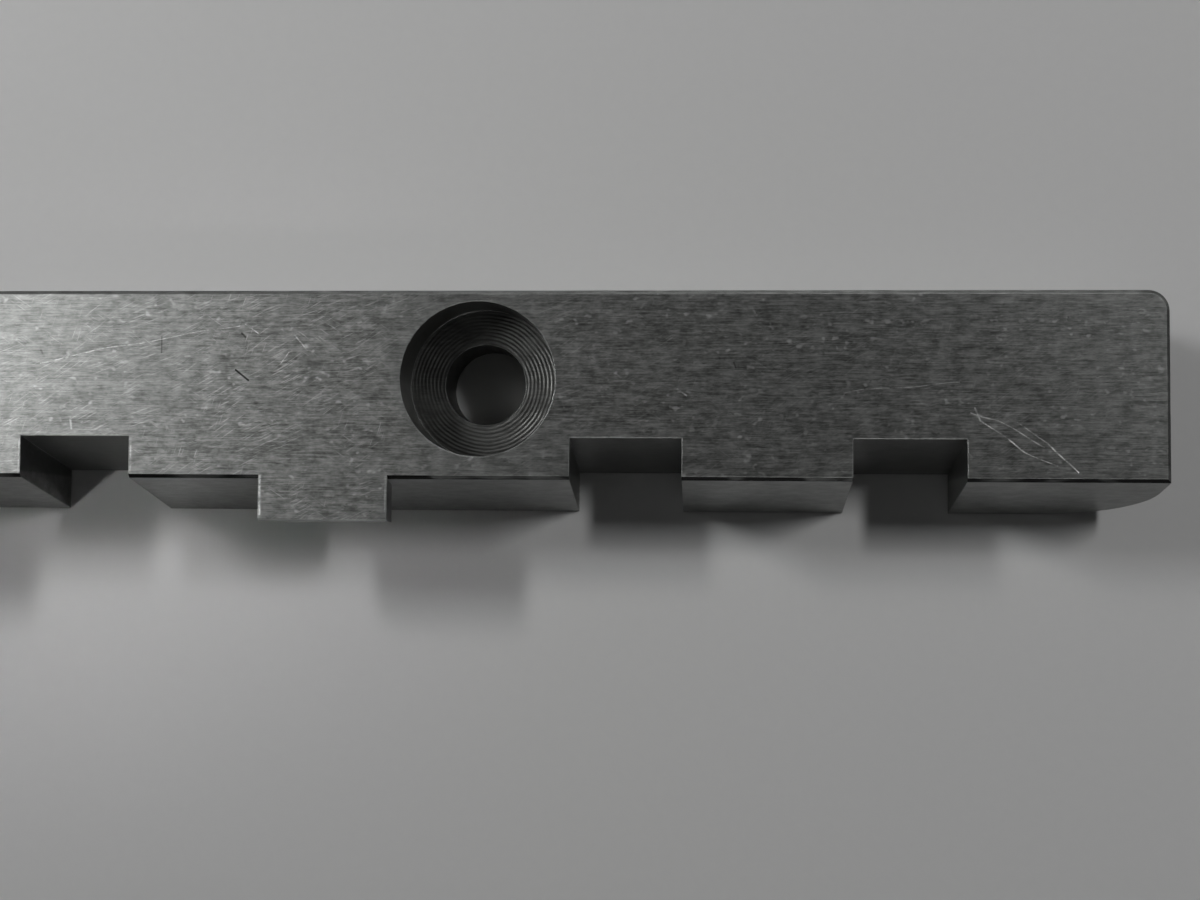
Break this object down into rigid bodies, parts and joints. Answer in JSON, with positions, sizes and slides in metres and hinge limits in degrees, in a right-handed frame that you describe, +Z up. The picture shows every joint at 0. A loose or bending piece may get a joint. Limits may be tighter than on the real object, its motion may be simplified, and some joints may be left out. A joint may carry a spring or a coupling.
{
  "type": "rack and pinion",
  "caption": "Steel rack bar with square index gaps, a thin tab and a counterbored screw hole, guided past a small spur pinion on an upright shaft.",
  "frame": {"origin": "pitch point of the rack and the pinion, dropped onto the mounting plane: the centre of the base plate's four mounting holes", "axes": "+X along the rack's travel, towards its end with the screw hole; +Y from the pinion towards the rack; +Z up, along the pinion's shaft"},
  "size_m": [0.171, 0.06, 0.032],
  "materials": {
    "rack_steel": "ground along its length, scratched, oiled",
    "ground_steel": "surface ground",
    "guide_steel": "milled",
    "gear_steel": "hobbed, satin",
    "shaft_steel": "turned and polished",
    "hard_pin_steel": "centreless ground",
    "spring_steel": "blued",
    "zinc_steel": "bright zinc plated",
    "black_oxide": "black oxide, oiled",
    "bronze": "machined bearing bronze"
  },
  "bodies": {
    "frame": {"base_plate": "ground_steel", "lower_bush": "bronze", "upper_bush": "bronze", "bridge_plate": "ground_steel", "bridge_posts": "zinc_steel", "bridge_screws": "black_oxide", "guide_block_left": "guide_steel", "guide_block_right": "guide_steel", "rear_rail": "guide_steel", "gib_strip": "bronze", "gib_screws": "black_oxide", "gib_lock_nuts": "zinc_steel", "guide_cap_left": "ground_steel", "guide_cap_right": "ground_steel", "cap_screws": "black_oxide", "base_screws": "black_oxide", "dowel_pins": "hard_pin_steel"},
    "rack": {"rack_bar": "rack_steel", "stop_pins": "hard_pin_steel"},
    "pinion_unit": {"pinion": "gear_steel", "pinion_shaft": "shaft_steel", "hub_set_screw": "black_oxide", "thrust_washers": "shaft_steel", "retaining_ring": "spring_steel"}
  },
  "joints": [
    {"name": "rack_slide", "type": "slide", "parent": "frame", "child": "rack", "axis": [1, 0, 0], "range_m": [-0.015, 0.015]},
    {"name": "pinion_spin", "type": "hinge", "parent": "frame", "child": "pinion_unit", "pos_m": [0, -0.01, 0.006], "axis": [0, 0, 1], "range_deg": [-86, 86]}
  ],
  "couplings": [
    {"joint": "pinion_spin", "follows": "rack_slide", "rad_per_m": -100}
  ]
}
